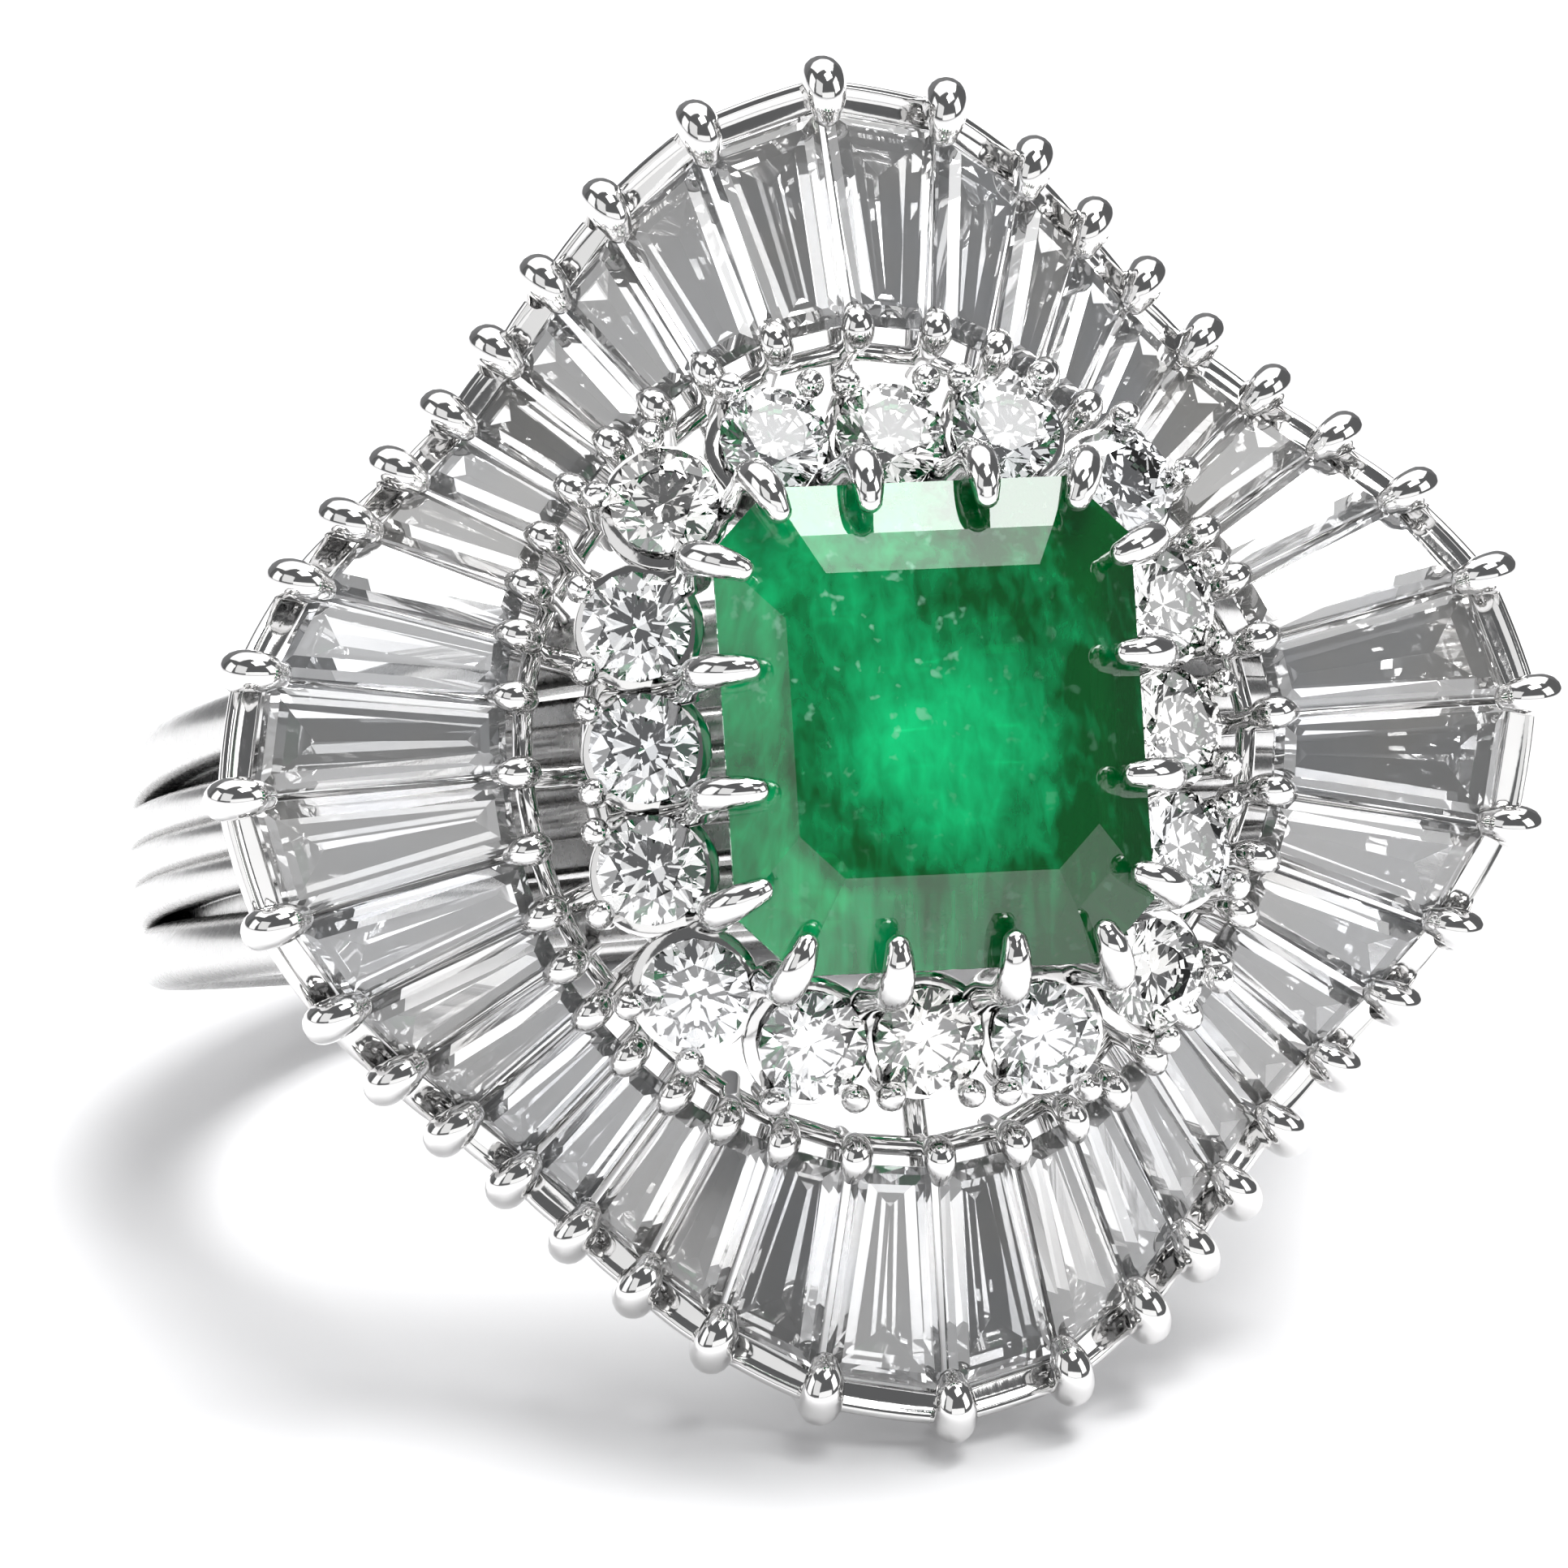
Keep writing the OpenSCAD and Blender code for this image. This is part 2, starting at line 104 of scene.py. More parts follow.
def wave(a):
    """0 at the four points of the lozenge and 1 between them: half of 1 - cos 4a."""
    return (1 - cos_deg(4*a))/2


def junction_angle(n):
    """Even steps with two sine waves added, so that junctions crowd between the points."""
    even = 360/JUNCTIONS*n
    return even + CROWDING*sin_deg(4*even) + CROWDING_TWICE*sin_deg(8*even)


def outer_place(a):
    """Radius and height of the outer prongs' heads at angle a."""
    quarter = (np.asarray(a)//90).astype(int) % 4
    return POINT_R - QUARTER_DIP[quarter]*wave(a), GIRDLE_Z - OUTER_DROP - OUTER_SAG*wave(a)


def inner_place(a):
    """Radius and height of the inner prongs' heads: an ellipse seen from above."""
    radius = 1/np.hypot(cos_deg(a)/INNER_HALF_X, sin_deg(a)/INNER_HALF_Y)
    return radius, GIRDLE_Z - INNER_DROP - INNER_SAG*wave(a)


def slope(a):
    """Angle at which the stones fall outwards at angle a."""
    (ro, zo), (ri, zi) = outer_place(a), inner_place(a)
    return np.degrees(np.arctan2(zi - zo, ro - ri))


def beside(place, n, out, up):
    """Points beside the prong heads at junctions n: out along the stones, up along their normal."""
    a = junction_angle(n)
    (r, z), s = place(a), slope(a)
    radius = r + out*cos_deg(s) + up*sin_deg(s)
    height = z - out*sin_deg(s) + up*cos_deg(s)
    return np.stack(np.broadcast_arrays(radius*cos_deg(a), radius*sin_deg(a), height), -1)


def tangent(n):
    """Unit vectors round the lozenge at junctions n."""
    a = junction_angle(n)
    return np.stack([-sin_deg(a), cos_deg(a), 0*a], -1)


# The halo's places

# From the top stone round clockwise to the right one: x, y and the way it faces
HALO = np.array([[0, 5, 90], [1.95, 5, 90], [3.85, 4.05, 45], [4.45, 2, 0], [4.45, 0, 0]])


def halo_places(i):
    """Places and outward directions of the rounds: the table's rows mirrored into four quarters."""
    i = np.asarray(i) % ROUNDS
    m = i % (ROUNDS//2)
    row = HALO[np.where(m <= 4, m, 8 - m)]
    side = np.stack([np.where(i <= 8, 1, -1), np.where((i <= 4) | (i > 12), 1, -1)], -1)
    out = np.stack([cos_deg(row[:, 2]), sin_deg(row[:, 2])], -1)
    return row[:, :2]*side, out*side


def turn_cluster(p):
    """Turns points about Z by the small angle at which the emerald sits in the lozenge."""
    c, s = cos_deg(CLUSTER_TURN), sin_deg(CLUSTER_TURN)
    return np.stack([c*p[..., 0] - s*p[..., 1], s*p[..., 0] + c*p[..., 1], p[..., 2]], -1)


def lie_down(p):
    """Turns points about X and lifts them, so that the ring lies on its side, in metres."""
    c, s = cos_deg(90 - REST_TILT), sin_deg(90 - REST_TILT)
    y = c*p[..., 1] - s*p[..., 2] + REST_SHIFT
    z = s*p[..., 1] + c*p[..., 2] + REST_HEIGHT
    return np.stack([p[..., 0], y, z], -1)*MM


# Surfaces
def grid_faces(count, rows, cols, wrap_rows, wrap_cols):
    """Corner numbers of the quads of count grids that lie one after another."""
    r = np.arange(rows if wrap_rows else rows - 1)
    c = np.arange(cols if wrap_cols else cols - 1)
    k, r, c = np.meshgrid(np.arange(count), r, c, indexing="ij")
    r1, c1 = (r + 1) % rows, (c + 1) % cols
    corner = lambda a, b: (k*rows + a)*cols + b
    return np.stack([corner(r, c), corner(r, c1), corner(r1, c1), corner(r1, c)], -1).reshape(-1, 4)


def make_piece(name, parts, material, smooth_angle=40):
    """One mesh of the mounting's metal from several point grids, each given as (points,
    wrap_rows, wrap_cols, capped). A capped grid is a tube: both ends are closed by a fan about
    the middle of the end's ring."""
    points, quads, fans, start = [], [], [], 0
    for p, wrap_rows, wrap_cols, capped in parts:
        count, rows, cols = p.shape[:3]
        f = grid_faces(count, rows, cols, wrap_rows, wrap_cols)
        flat = p.reshape(-1, 3)
        tris = np.zeros((0, 3), int)
        if capped:
            poles = np.concatenate([p[:, 0].mean(1), p[:, -1].mean(1)])
            k, c = np.meshgrid(np.arange(count), np.arange(cols), indexing="ij")
            ring = lambda row: (k*rows + row)*cols
            first, last = len(flat) + k, len(flat) + count + k
            tris = np.concatenate([
                np.stack([first, ring(0) + (c + 1) % cols, ring(0) + c], -1).reshape(-1, 3),
                np.stack([last, ring(rows - 1) + c, ring(rows - 1) + (c + 1) % cols],
                         -1).reshape(-1, 3)])
            flat = np.concatenate([flat, poles])
        # The sum of the cones from the middle to each face tells whether they point outwards
        mid = flat.mean(0)
        p0, p1, p2, p3 = (flat[f[:, i]] - mid for i in range(4))
        if (p0*(np.cross(p1, p2) + np.cross(p2, p3))).sum() < 0:
            f, tris = f[:, ::-1], tris[:, ::-1]
        points.append(flat)
        quads.append(f + start)
        fans.append(tris + start)
        start += len(flat)
    points, quads, fans = (np.concatenate(v) for v in (points, quads, fans))
    mesh = bpy.data.meshes.new(name)
    mesh.vertices.add(len(points))
    mesh.vertices.foreach_set("co", lie_down(points).astype(np.float32).ravel())
    loops = np.concatenate([quads.ravel(), fans.ravel()]).astype(np.int32)
    sizes = np.concatenate([np.full(len(quads), 4), np.full(len(fans), 3)]).astype(np.int32)
    mesh.loops.add(len(loops))
    mesh.loops.foreach_set("vertex_index", loops)
    mesh.polygons.add(len(sizes))
    mesh.polygons.foreach_set("loop_start", (np.cumsum(sizes) - sizes).astype(np.int32))
    mesh.polygons.foreach_set("use_smooth", np.ones(len(sizes), bool))
    mesh.update(calc_edges=True)
    mesh.validate()
    mesh.set_sharp_from_angle(angle=np.radians(smooth_angle))
    mesh.materials.append(material)
    piece = bpy.data.objects.new(name, mesh)
    bpy.context.scene.collection.objects.link(piece)
    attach(piece, "root")
    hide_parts("mounting")


def along(knots, count):
    """Points on a smooth curve through the knots of shape (..., M, D): a cubic between each two
    knots whose end slopes are half the chord of the neighbours, at count evenly spread values."""
    knots = np.asarray(knots, float)
    ends = np.concatenate([2*knots[..., :1, :] - knots[..., 1:2, :], knots,
                           2*knots[..., -1:, :] - knots[..., -2:-1, :]], -2)
    t = np.linspace(0, knots.shape[-2] - 1, count)
    i = np.minimum(t.astype(int), knots.shape[-2] - 2)
    f = (t - i)[:, None]
    a, b, c, d = (ends[..., i + j, :] for j in range(4))
    return b + f*((c - a)/2 + f*(a - 2.5*b + 2*c - d/2 + f*((d - a)/2 + 1.5*(b - c))))


def tube(path, radius, side, facets, end_rings):
    """A round tube with half-round ends about each path of shape (K, M, 3). Its section at a
    point is radius*(cos t*side + sin t*normal), where side and normal stand across the path."""
    path = np.asarray(path, float)
    radius = np.broadcast_to(radius, path.shape[:2])
    step = np.gradient(path, axis=1)
    step /= np.linalg.norm(step, axis=-1, keepdims=True)
    side = np.broadcast_to(np.asarray(side, float)[..., None, :], path.shape)
    side = side - (side*step).sum(-1, keepdims=True)*step
    side = side/np.linalg.norm(side, axis=-1, keepdims=True)
    normal = np.cross(step, side)
    # Half-round ends: more rings, on a sphere's outline beyond the first and the last point
    u = np.sin(np.linspace(0, np.pi/2, end_rings + 1)[1:])*LAST_RING
    h = np.sqrt(1 - u*u)
    r0, r1 = radius[:, :1], radius[:, -1:]
    path = np.concatenate([(path[:, :1] - (r0*u)[..., None]*step[:, :1])[:, ::-1], path,
                           path[:, -1:] + (r1*u)[..., None]*step[:, -1:]], 1)
    radius = np.concatenate([(r0*h)[:, ::-1], radius, r1*h], 1)
    pad = lambda v: np.concatenate([np.repeat(v[:, :1], len(u), 1), v,
                                    np.repeat(v[:, -1:], len(u), 1)], 1)
    t = np.linspace(0, 2*np.pi, facets, endpoint=False)[:, None]
    ring = np.cos(t)*pad(side)[..., None, :] + np.sin(t)*pad(normal)[..., None, :]
    return path[..., None, :] + radius[..., None, None]*ring, False, True, True


def revolve(profile, around, tilt=0.0, offset=0.0):
    """A profile of (y, r) points turned about the finger's axis: x = r sin t, z = r cos t.
    The whole is then turned about X by tilt degrees and moved along Y by offset."""
    y, r = np.asarray(profile, float).T
    t = np.linspace(0, 2*np.pi, around, endpoint=False)[:, None]
    p = np.stack([r*np.sin(t), y + 0*t, r*np.cos(t)], -1)
    c, s = cos_deg(tilt), sin_deg(tilt)
    p = np.stack([p[..., 0], c*p[..., 1] - s*p[..., 2] + offset, s*p[..., 1] + c*p[..., 2]], -1)
    return p[None], True, True, False


def arc(cy, cr, radius, start, end, count):
    """Points of a circle's arc in a profile, from angle start to angle end."""
    t = np.linspace(start, end, count)
    return np.stack([cy + radius*cos_deg(t), cr + radius*sin_deg(t)], -1)


# Shader nodes
class Maths:
    """A number's socket, on which Python's operators add Math nodes."""

    def __init__(self, shader, socket):
        self.shader, self.socket = shader, socket

    def join(self, operation, a, b):
        node = self.shader.node("ShaderNodeMath", {"operation": operation}, {0: a, 1: b})
        return Maths(self.shader, node.outputs[0])

    def __add__(self, other): return self.join("ADD", self, other)
    def __radd__(self, other): return self.join("ADD", other, self)
    def __sub__(self, other): return self.join("SUBTRACT", self, other)
    def __rsub__(self, other): return self.join("SUBTRACT", other, self)
    def __mul__(self, other): return self.join("MULTIPLY", self, other)
    def __rmul__(self, other): return self.join("MULTIPLY", other, self)

    def clamp(self, low, high):
        return self.join("MINIMUM", self.join("MAXIMUM", self, low), high)


class Shader:
    """A material with one Principled shader, and the one method that adds any other node."""

    def __init__(self, name, **uniform):
        self.material = bpy.data.materials.new(name)
        self.material.use_nodes = True
        self.tree = self.material.node_tree
        self.tree.nodes.clear()
        self.main = self.node("ShaderNodeBsdfPrincipled", {}, uniform)
        out = self.node("ShaderNodeOutputMaterial", {}, {})
        self.tree.links.new(self.main.outputs[0], out.inputs["Surface"])
        coordinates = self.node("ShaderNodeTexCoord", {}, {})
        self.object_place = coordinates.outputs["Object"]

    def node(self, kind, settings, values):
        """Adds a node: its settings first, then its sockets by name or number."""
        node = self.tree.nodes.new(kind)
        for key, value in settings.items():
            setattr(node, key, value)
        for key, value in values.items():
            socket = node.inputs[key.replace("_", " ") if isinstance(key, str) else key]
            value = value.socket if isinstance(value, Maths) else value
            if isinstance(value, bpy.types.NodeSocket):
                self.tree.links.new(value, socket)
            else:
                socket.default_value = value
        return node

    def feed(self, **sockets):
        """Links what changes over the surface to the Principled shader."""
        for key, value in sockets.items():
            value = value.socket if isinstance(value, Maths) else value
            self.tree.links.new(value, self.main.inputs[key.replace("_", " ")])

    def noise(self, scale, detail=2.0, stretch=(1, 1, 1), distortion=0.0):
        """Noise of so many bumps a metre, stretched by a Mapping node."""
        mapped = self.node("ShaderNodeMapping", {}, {
            "Vector": self.object_place, "Scale": stretch})
        node = self.node("ShaderNodeTexNoise", {}, {
            "Vector": mapped.outputs[0], "Scale": scale, "Detail": detail,
            "Distortion": distortion})
        return Maths(self, node.outputs["Fac"])

    def measure(self, operation, other):
        """A Vector Math node's number, worked out from each point and another vector."""
        node = self.node("ShaderNodeVectorMath", {"operation": operation},
                         {0: self.object_place, 1: other})
        return Maths(self, node.outputs["Value"])

    def glow(self, place, radius, reach):
        """A round patch about a place: reach minus the distance in radii, between 0 and 1."""
        return (reach - self.measure("DISTANCE", place)*(1/radius)).clamp(0, 1)

    def blend(self, factor, a, b):
        """A colour between a and b."""
        node = self.node("ShaderNodeMix", {"data_type": "RGBA"}, {0: factor, 6: a, 7: b})
        return node.outputs[2]

    def bump(self, height, strength, distance):
        """Feeds the Principled shader's Normal from a height."""
        node = self.node("ShaderNodeBump", {}, {
            "Height": height, "Strength": strength, "Distance": distance})
        self.feed(Normal=Maths(self, node.outputs[0]))


def platinum(name, shine, spread, tone):
    """White metal, polished or satin: faint waves of the polishing wheel and finer hairlines.
    Roughness goes from shine to shine + spread, and tone darkens the metal's white: on the band
    this darkening is painted shade."""
    s = Shader(name, Metallic=1.0)
    waves = s.noise(900, 2)
    hairs = s.noise(9000, 3, (1, 1, 0.25))
    white = lambda level: (tone*level, tone*(level - 0.005), tone*(level - 0.01), 1)
    s.feed(Base_Color=s.blend(waves, white(0.66), white(0.78)), Roughness=shine + spread*hairs)
    s.bump(waves*0.8 + hairs*0.2, 0.15, 0.04*MM)
    return s.material


def diamond(name, clarity, warm, cool):
    """Colourless stone: light goes through and is bent as in diamond, but for the share that a
    silky stone scatters. Its tint drifts from stone to stone between a warm and a cool white: a
    painted fire that stands in for the yellow and blue flashes of light the stones throw."""
    s = Shader(name, Roughness=0.0, IOR=2.417, Transmission_Weight=clarity)
    # Painted fire: a warm or cool tint over the stones stands in for their yellow and blue flashes
    # of light
    painted_fire = ((s.noise(420, 2) - 0.38)*4.0).clamp(0, 1)
    s.feed(Base_Color=s.blend(painted_fire, warm, cool))
    return s.material


def on_table(x, y):
    """A place just under the emerald's table, in metres."""
    return tuple(lie_down(turn_cluster(np.array([x, y, GIRDLE_Z + 0.6]))))


def emerald():
    """Green stone: darker towards its right edge, paler where one looks through the crown's steps
    (a painted sheen), lighter about a place below the middle (a painted glow), drifting veils,
    fine upright silk, and pale specks in its upper left part."""
    s = Shader("emerald_polish_painted_light", Roughness=0.02, IOR=1.58, Transmission_Weight=0.45,
               Coat_Weight=0.3, Coat_Roughness=0.01)
    veil = s.noise(700, 6, (1, 1, 0.7), 0.5)
    silk = s.noise(4200, 3, (1.0, 1.0, 0.10), 0.4)
    specks = ((s.noise(3300, 2) - 0.63)*12.0).clamp(0, 1)
    # Painted glow: a lighter round patch below the middle of the table, where light comes back
    # through the stone
    painted_glow = s.glow(on_table(0.3, -0.5), 1.6*MM, 1.45)
    cloud = s.glow(on_table(-1.3, 1.3), 2.2*MM, 1.2)
    # In mm: to the right of the stone's middle, and below a level just under its table
    across = s.measure("DOT_PRODUCT", (1/MM, 0, 0))
    up = np.array([0, -sin_deg(90 - REST_TILT), cos_deg(90 - REST_TILT)])/MM
    table_height = float(np.array(on_table(0, 0)) @ up) + 0.04
    below = table_height - s.measure("DOT_PRODUCT", tuple(up))
    # Painted sheen: below the table the crown's steps are made paler, less so towards the right
    crown = (below*12.0).clamp(0, 1)*(0.14 - 0.06*across).clamp(0, 0.35)
    tone = (0.05 + (veil - 0.5)*1.2 + (silk - 0.5)*0.8 + painted_glow*0.70 + cloud*0.26 + crown
            - 0.03*across).clamp(0, 1)
    body = s.blend(tone, (0.0, 0.105, 0.018, 1), (0.006, 0.80, 0.27, 1))
    s.feed(Base_Color=s.blend(specks*(0.10 + 0.6*cloud), body, (0.45, 0.92, 0.68, 1)))
    return s.material


metal = platinum("platinum_polish", 0.03, 0.09, 1.0)
# The band's copy: rougher, and its white darkened to 0.85 as painted shade
satin_shaded = platinum("platinum_satin_shaded", 0.20, 0.14, 0.85)
brilliant = diamond("diamond_polish", 1.0, (1.0, 0.985, 0.955, 1), (0.95, 0.97, 1.0, 1))
silky = diamond("diamond_silky", 0.90, (1.0, 0.985, 0.96, 1), (0.96, 0.975, 1.0, 1))
green = emerald()

# Stones: the part's own solids
for name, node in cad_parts.items():
    finish = {"emerald": green, "mounting": metal, "round_diamonds": brilliant}.get(name, silky)
    node.data.materials.clear()
    node.data.materials.append(finish)


# The band
def band_parts():
    """Lining with three close ribs on it, and two side ribs whose webs reach the finger."""
    corner, fillet = 0.14, 0.08
    groove = np.degrees(np.arccos(RIB_PITCH/2/RIB_R))
    foot = np.degrees(np.arccos((CORE_W/2 - RIB_PITCH)/RIB_R))
    half = LINING_W/2
    right = np.concatenate([
        arc(RIB_PITCH, CORE_R, RIB_R, 180 - groove, -foot, 26),
        arc(CORE_W/2 + fillet, LINING_R + fillet, fillet, 180, 270, 5),
        arc(half - corner, LINING_R - corner, corner, 90, 0, 7),
        arc(half - corner, BORE_R + corner, corner, 0, -90, 7)])
    middle = arc(0, CORE_R, RIB_R, 180 - groove, groove, 20)
    left = (right*np.array([-1, 1]))[::-1]
    lining = revolve(np.concatenate([left, middle[1:-1], right]), 288)
    join = np.degrees(np.arccos(SIDE_WEB_W/2/SIDE_RIB_R))
    rib = np.concatenate([
        arc(0, SIDE_RIB_CENTRE, SIDE_RIB_R, 180 + join, -join, 40),
        arc(SIDE_WEB_W/2 - corner, BORE_R + corner, corner, 0, -90, 6),
        arc(corner - SIDE_WEB_W/2, BORE_R + corner, corner, -90, -180, 6)])
    sides = [revolve(rib, 288, -side*SIDE_RIB_SPLAY, side*SIDE_RIB_OFFSET) for side in (-1, 1)]
    return [lining] + sides


make_piece("shank", band_parts(), satin_shaded)

# Prongs of the baguettes
every = np.arange(JUNCTIONS, dtype=float)
# Each knot: out, up, radius. The wire rises, swells and bends inwards over two stones' corners
OUTER_KNOTS = np.array([
    [0.12, -1.32, 0.25], [0.12, -1.00, 0.255], [0.14, -0.65, 0.29], [0.17, -0.30, 0.325],
    [0.15, 0.00, 0.35], [0.03, 0.14, 0.355], [-0.16, 0.16, 0.345], [-0.34, 0.10, 0.31],
    [-0.49, 0.01, 0.24]])
INNER_KNOTS = np.array([
    [-0.08, -1.50, 0.20], [-0.08, -1.00, 0.20], [-0.10, -0.50, 0.21], [-0.12, -0.15, 0.25],
    [-0.05, 0.05, 0.28], [0.08, 0.10, 0.265], [0.22, 0.05, 0.22], [0.33, -0.03, 0.16]])


def prongs(place, knots, facets):
    """Round wires through the knots, one at every junction."""
    k = along(knots, 4*len(knots))
    path = beside(place, every[:, None], k[:, 0], k[:, 1])
    return tube(path, k[:, 2], tangent(every), facets, 4)


make_piece("outer_prongs", [prongs(outer_place, OUTER_KNOTS, 18)], metal)
make_piece("inner_prongs", [prongs(inner_place, INNER_KNOTS, 16)], metal)


# Strips, rails and spokes

# The strip's section with its ledge: out, up
STRIP_SECTION = np.array([
    [-0.26, -0.56], [-0.25, -0.51], [-0.21, -0.485], [-0.08, -0.46], [0.02, -0.43],
    [0.06, -0.38], [0.10, -0.35], [0.17, -0.35], [0.22, -0.38], [0.245, -0.45],
    [0.25, -0.70], [0.25, -1.00], [0.23, -1.08], [0.16, -1.12], [0.06, -1.12],
    [-0.01, -1.08], [-0.03, -0.98], [-0.06, -0.84], [-0.17, -0.76], [-0.24, -0.68]])
# How far the strip bows outwards, and over what width of its ledge the bow fades
STRIP_BOW, BOW_FADE = 0.05, 0.35


def strips():
    """The thin wall between two outer prongs, with its ledge towards the stone's end: the section
    carried from junction to junction in a straight line, to which the outward bow is added as
    4*bow*u*(1 - u)."""
    u = np.linspace(0, 1, 9)[:, None]
    bow = STRIP_BOW*4*u*(1 - u)
    rings = []
    for out, up in STRIP_SECTION:
        p = beside(outer_place, every, out, up)
        q = np.roll(p, -1, 0)
        away = beside(outer_place, every, out + 1, up) - p
        away = (away + np.roll(away, -1, 0))/2
        share = np.clip((out - STRIP_SECTION[0, 0])/BOW_FADE, 0, 1)
        rings.append(p[:, None] + (q - p)[:, None]*u + share*bow*away[:, None])
    return np.stack(rings, 2), False, True, True


def straight(p, q, radius):
    """Straight wires from points p to points q."""
    path = np.stack([p, (p + q)/2, q], 1)
    side = np.cross(q - p, [0.3, 0.2, 1.0])
    return tube(path, radius, side, 12, 2)


def rails():
    """Rails from inner wire to inner wire, a spoke from each inner wire to its outer one, and a
    link from the gallery to every second inner wire."""
    inner = lambda m, depth: beside(inner_place, m, INNER_WIRE_OUT, -depth)
    foot = inner(every[::2], SPOKE_INNER_DEPTH)
    a = np.degrees(np.arctan2(foot[:, 1], foot[:, 0]))
    return [straight(inner(every, RAIL_DEPTH), inner(every + 1, RAIL_DEPTH), RAIL_R),
            straight(inner(every, SPOKE_INNER_DEPTH),
                     beside(outer_place, every, OUTER_WIRE_OUT, -SPOKE_OUTER_DEPTH), SPOKE_R),
            straight(on_gallery(a), foot, LINK_R)]


def on_gallery(a):
    """Points in the middle of the gallery's wire at angles a."""
    return np.stack([GALLERY_R*cos_deg(a), GALLERY_R*sin_deg(a), GALLERY_Z + 0*a], -1)


make_piece("skirt_strip", [strips()], metal, 50)
make_piece("skirt_wires", rails(), metal)


# Gallery, claws and seats
def gallery():
    """A plain hoop of round wire: a ring about Z whose section is a circle."""
    t = np.linspace(0, 2*np.pi, 160, endpoint=False)[:, None]
    u = np.linspace(0, 2*np.pi, 20, endpoint=False)
    r = GALLERY_R + GALLERY_WIRE*np.cos(u)
    p = np.stack([r*np.cos(t), r*np.sin(t), GALLERY_Z + GALLERY_WIRE*np.sin(u) + 0*t], -1)
    return p[None], True, True, False


# Where the claws rise between two rounds, and the way they lean in
claw = np.arange(ROUNDS)
(here, out_here), (there, out_there) = halo_places(claw), halo_places(claw + 1)
root = (here + there)/2
inward = -(out_here + out_there)
inward /= np.linalg.norm(inward, axis=-1, keepdims=True)


def edge_distance():
    """How far in from each claw's root the emerald's outline lies."""
    d, p = np.abs(inward), np.abs(root)
    flat = np.where(d > 0.01, (p - EMERALD_HALF)/np.maximum(d, 0.01), 0).max(1)
    cut = (p.sum(1) - EMERALD_HALF.sum() + EMERALD_CORNER)/d.sum(1)
    return np.maximum(flat, cut)


# How far from a round's middle the claws beside it stand
CLAW_CLEAR = 1.24
# A claw's bends over the emerald's edge: how far in from its outline, how high over the girdle
CLAW_BENDS = [(-0.354, 0.1), (-0.16, 0.48), (0.10, 0.64), (0.34, 0.66)]
# Its radii, from the gallery to the tip
CLAW_RADII = np.array([0.27, 0.27, 0.345, 0.315, 0.30, 0.285, 0.26, 0.215])


def claws():
    """Sixteen wires from the gallery between the rounds, over the emerald's edge: broad where
    they bend, and tapering to a blunt finger on the stone."""
    edge = edge_distance()
    notch = np.sqrt(CLAW_CLEAR**2 - (np.linalg.norm(there - here, axis=1)/2)**2)
    level = lambda inset, z: np.concatenate(
        [root + inset[:, None]*inward, np.full((ROUNDS, 1), z)], 1)
    foot = on_gallery(np.degrees(np.arctan2(root[:, 1], root[:, 0])))
    collar = level(notch, HALO_Z + 0.5)
    bends = [level(edge + inset, GIRDLE_Z + rise) for inset, rise in CLAW_BENDS]
    knots = [foot, (foot + collar)/2, collar, (collar + bends[0])/2] + bends
    path = along(np.stack(knots, 1), 40)
    radii = along(CLAW_RADII[:, None], 40)[:, 0]
    side = np.stack([-inward[:, 1], inward[:, 0], 0*inward[:, 0]], -1)
    p, *rest = tube(path, radii, side, 18, 4)
    return (turn_cluster(p), *rest)


def at_rounds(p):
    """Copies points drawn about one round stone to all sixteen, leaning outwards."""
    at, out = halo_places(np.arange(ROUNDS))
    c, s = cos_deg(HALO_TILT), sin_deg(HALO_TILT)
    lean = np.stack([c*p[..., 0] + s*p[..., 2], p[..., 1], c*p[..., 2] - s*p[..., 0]], -1)[None]
    o = out.reshape((ROUNDS,) + (1,)*(p.ndim - 1) + (2,))
    x = o[..., 0]*lean[..., 0] - o[..., 1]*lean[..., 1]
    y = o[..., 1]*lean[..., 0] + o[..., 0]*lean[..., 1]
    centre = at.reshape(o.shape)
    placed = np.broadcast_arrays(x + centre[..., 0], y + centre[..., 1], lean[..., 2] + HALO_Z)
    return turn_cluster(np.stack(placed, -1))


# A cup's section: distance from the stone's axis, height
COLLET_SECTION = np.array([
    [0.60, -0.36], [0.66, -0.35], [1.02, -0.35], [1.07, -0.38], [1.08, -0.45],
    [1.04, -0.80], [1.00, -0.89], [0.92, -0.90], [0.66, -0.90], [0.60, -0.86]])
# A halo bead's post and head: distance from the stone's axis, height, radius
BEAD_KNOTS = np.array([[1.10, -0.86, 0.17], [1.12, -0.40, 0.17], [1.13, -0.10, 0.19],
                       [1.12, 0.10, 0.24], [1.08, 0.26, 0.235], [1.02, 0.36, 0.17]])
# The angle of each bead from the outward direction of its stone
BEAD_TURN = 38.0


def collets():
    """Sixteen open cups under the rounds: the section turned about the stone's axis."""
    t = np.linspace(0, 2*np.pi, 40, endpoint=False)[:, None]
    r, z = COLLET_SECTION.T
    ring = np.stack([r*np.cos(t), r*np.sin(t), z + 0*t], -1)
    return at_rounds(ring), True, True, False


def halo_beads():
    """Two burnished beads outside each round, on short posts that lean over the stone's edge."""
    parts = []
    for a in (-BEAD_TURN, BEAD_TURN):
        dx, dy = cos_deg(a), sin_deg(a)
        k = along(BEAD_KNOTS, 16)
        path = np.stack([k[:, 0]*dx, k[:, 0]*dy, k[:, 1]], -1)[None]
        p, *rest = tube(path, k[:, 2], np.array([[-dy, dx, 0.0]]), 14, 3)
        parts.append((at_rounds(p[0]), *rest))
    return parts


make_piece("gallery", [gallery()], metal)
make_piece("emerald_claws", [claws()], metal)
make_piece("halo_seats", [collets()], metal, 50)
make_piece("halo_beads", halo_beads(), metal)


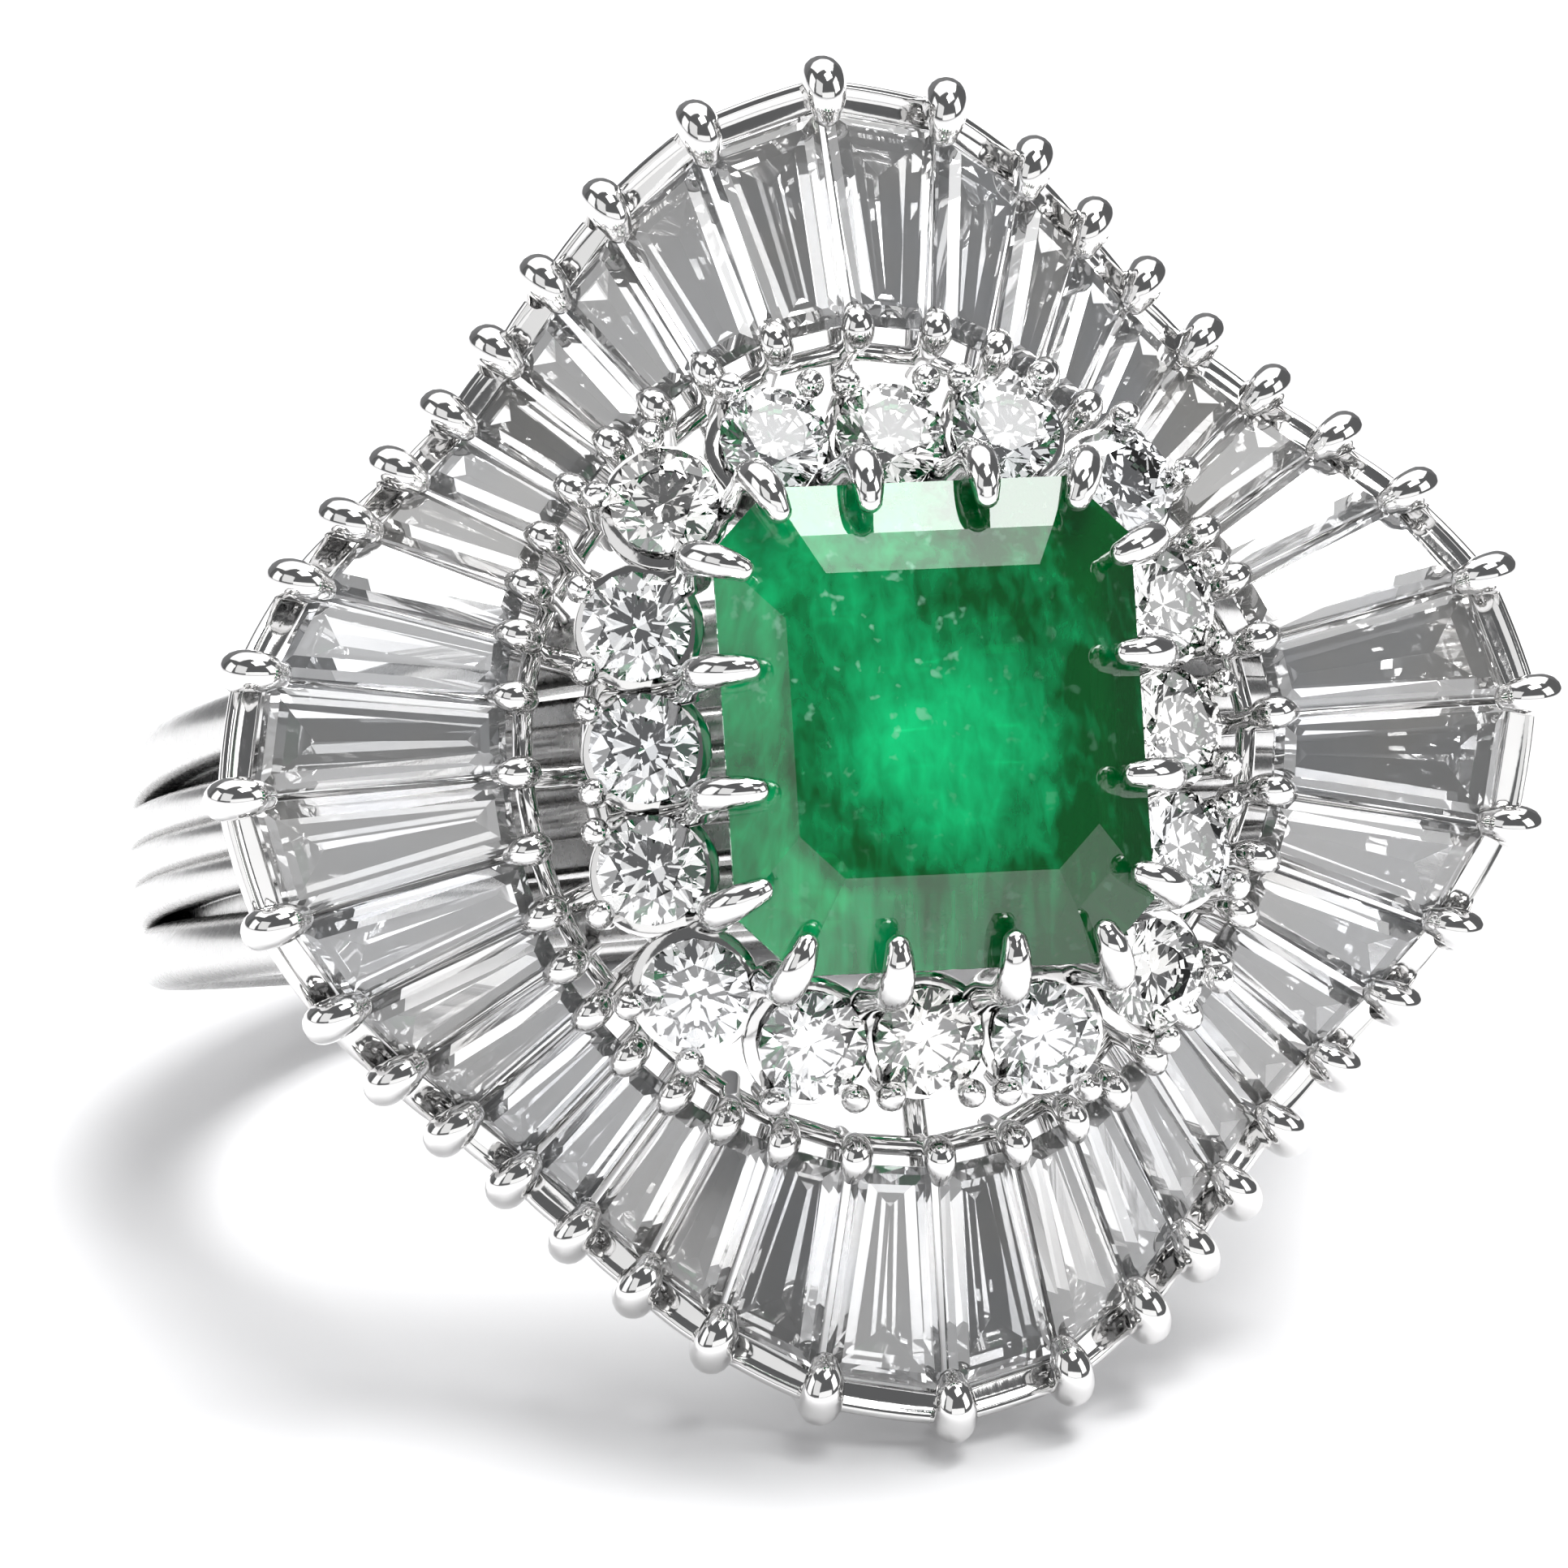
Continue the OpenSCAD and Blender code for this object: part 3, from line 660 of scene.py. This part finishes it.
# Floor, light and camera
def make_floor():
    """A pale level sheet that turns up behind the ring: level for three fifths of its rows, then
    a quarter of a circle, then upright."""
    front, back, bend, wall = -0.8, 0.8, 0.25, 0.6
    u = np.linspace(0, 1, 40)
    turn = np.clip((u - 0.6)/0.4, 0, 1)*np.pi/2
    y = front + (back - front)*np.minimum(u/0.6, 1) + bend*np.sin(turn)
    z = bend*(1 - np.cos(turn)) + wall*(u == 1)
    x = np.array([-1.2, 1.2])
    p = np.stack([x[None, :] + 0*y[:, None], y[:, None] + 0*x, z[:, None] + 0*x], -1)
    mesh = bpy.data.meshes.new("floor")
    faces = grid_faces(1, len(y), 2, False, False)
    mesh.from_pydata(p.reshape(-1, 3).tolist(), [], faces.tolist())
    mesh.polygons.foreach_set("use_smooth", np.ones(len(mesh.polygons), bool))
    card = Shader("floor_card", Roughness=0.55)
    white = np.array([0.90, 0.90, 0.91])
    card.feed(Base_Color=card.blend(card.noise(40, 2), (*white, 1), (*(0.985*white), 1)))
    mesh.materials.append(card.material)
    floor = bpy.data.objects.new("floor", mesh)
    bpy.context.scene.collection.objects.link(floor)
    floor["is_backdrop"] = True


make_floor()
centre = Vector(lie_down(np.array([0, 0, GIRDLE_Z])))


def soft_box(name, place, size, brightness):
    """An oblong area light that faces the stones. Its watts follow from its brightness and area,
    so that a larger one looks as bright."""
    data = bpy.data.lights.new(name, "AREA")
    data.shape, data.size, data.size_y = "RECTANGLE", size[0], size[1]
    data.energy = brightness*np.pi*size[0]*size[1]
    lamp = bpy.data.objects.new(name, data)
    lamp.location = Vector(place)
    lamp.rotation_euler = (Vector(place) - centre).to_track_quat("Z", "Y").to_euler()
    bpy.context.scene.collection.objects.link(lamp)


soft_box("light_key", (0.10, 0.06, 0.41), (0.24, 0.24), 12.0)
soft_box("light_crown", (0.08, -0.165, 0.385), (0.24, 0.17), 3.6)
soft_box("light_top", (0.0, 0.20, 0.46), (0.80, 0.50), 1.4)
soft_box("light_left", (-0.34, -0.26, 0.20), (0.30, 0.30), 0.9)
soft_box("light_right", (0.37, -0.23, 0.21), (0.26, 0.28), 2.0)
soft_box("light_side", (-0.46, 0.05, 0.16), (0.26, 0.30), 1.3)
soft_box("light_front", (0.0, -0.80, 0.13), (1.10, 0.24), 1.2)

world = bpy.data.worlds.new("studio")
world.use_nodes = True
world.node_tree.nodes["Background"].inputs["Color"].default_value = (0.80, 0.81, 0.83, 1)
world.node_tree.nodes["Background"].inputs["Strength"].default_value = 0.18
bpy.context.scene.world = world

# Camera fitted to the photograph: turn, height and roll in degrees, distance and shift in mm
CAMERA_TURN, CAMERA_HEIGHT, CAMERA_ROLL = 13.4528, 21.0491, 0.3386
CAMERA_DISTANCE, CAMERA_SIDE, CAMERA_UP = 437.35, 2.4420, 0.9539
PIXELS_PER_MM, IMAGE, SENSOR = 75.585, 1932, 36.0
away = Vector((-sin_deg(CAMERA_TURN)*cos_deg(CAMERA_HEIGHT),
               -cos_deg(CAMERA_TURN)*cos_deg(CAMERA_HEIGHT), sin_deg(CAMERA_HEIGHT)))
level = Vector((cos_deg(CAMERA_TURN), -sin_deg(CAMERA_TURN), 0))
upright = away.cross(level)
c, s = cos_deg(CAMERA_ROLL), sin_deg(CAMERA_ROLL)
right, up = level*c + upright*s, upright*c - level*s
data = bpy.data.cameras.new("camera")
data.sensor_width = SENSOR
data.lens = PIXELS_PER_MM*CAMERA_DISTANCE*SENSOR/IMAGE
data.clip_start, data.clip_end = 0.01, 10.0
camera = bpy.data.objects.new("camera", data)
spot = centre + MM*(CAMERA_DISTANCE*away - CAMERA_SIDE*right - CAMERA_UP*up)
camera.matrix_world = Matrix.Translation(spot) @ Matrix([right, up, away]).transposed().to_4x4()
bpy.context.scene.collection.objects.link(camera)
bpy.context.scene.camera = camera
bpy.context.scene.view_settings.view_transform = "Standard"

{"cad": cad_box, "visual": [list(corner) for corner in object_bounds()]}
